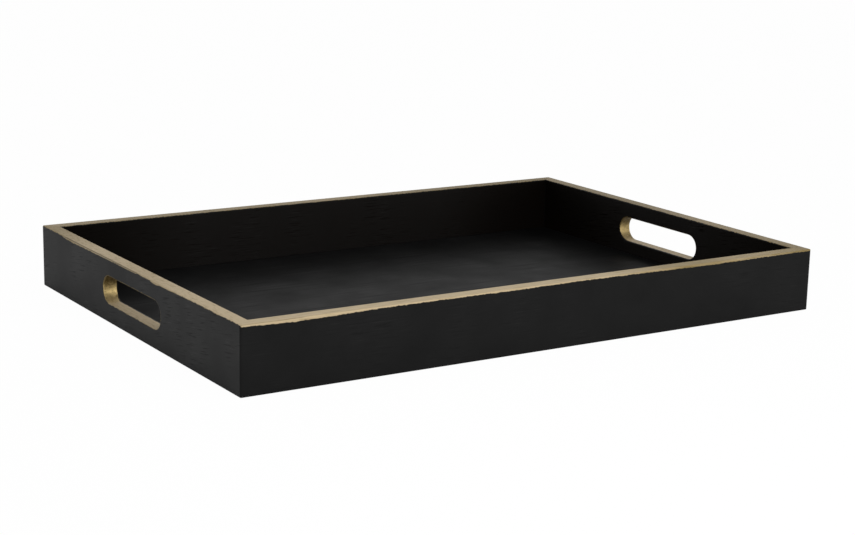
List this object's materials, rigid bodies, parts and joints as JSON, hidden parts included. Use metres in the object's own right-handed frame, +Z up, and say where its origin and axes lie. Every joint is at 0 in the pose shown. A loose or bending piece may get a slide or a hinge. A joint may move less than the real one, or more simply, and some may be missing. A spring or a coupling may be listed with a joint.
{
  "type": "serving tray",
  "caption": "Rectangular serving tray of black painted wood with a gilded rim, mitred walls, a rounded hand slot through each end and a flat base set in a rabbet.",
  "frame": {"origin": "middle of the rectangle that the tray stands on, at the foot of its walls", "axes": "+X along the tray towards the right end, +Y across it towards the rear side, +Z up"},
  "size_m": [0.5, 0.35, 0.049],
  "materials": {
    "painted_wood": "satin black paint that lets the grain show, with brushed gold paint on the rim and in the hand slots",
    "painted_ply": "satin black paint over a plywood face, grain along the tray",
    "brad_steel": "bright drawn wire"
  },
  "bodies": {
    "root": {"base_panel": "painted_ply", "front_side": "painted_wood", "rear_side": "painted_wood", "left_end": "painted_wood", "right_end": "painted_wood", "corner_brad_front_left_lower": "brad_steel", "corner_brad_front_left_upper": "brad_steel", "corner_brad_front_right_lower": "brad_steel", "corner_brad_front_right_upper": "brad_steel", "corner_brad_rear_left_lower": "brad_steel", "corner_brad_rear_left_upper": "brad_steel", "corner_brad_rear_right_lower": "brad_steel", "corner_brad_rear_right_upper": "brad_steel", "base_brad_front_1": "brad_steel", "base_brad_front_2": "brad_steel", "base_brad_front_3": "brad_steel", "base_brad_front_4": "brad_steel", "base_brad_rear_1": "brad_steel", "base_brad_rear_2": "brad_steel", "base_brad_rear_3": "brad_steel", "base_brad_rear_4": "brad_steel", "base_brad_left_1": "brad_steel", "base_brad_left_2": "brad_steel", "base_brad_left_3": "brad_steel", "base_brad_left_4": "brad_steel", "base_brad_right_1": "brad_steel", "base_brad_right_2": "brad_steel", "base_brad_right_3": "brad_steel", "base_brad_right_4": "brad_steel"}
  },
  "joints": []
}
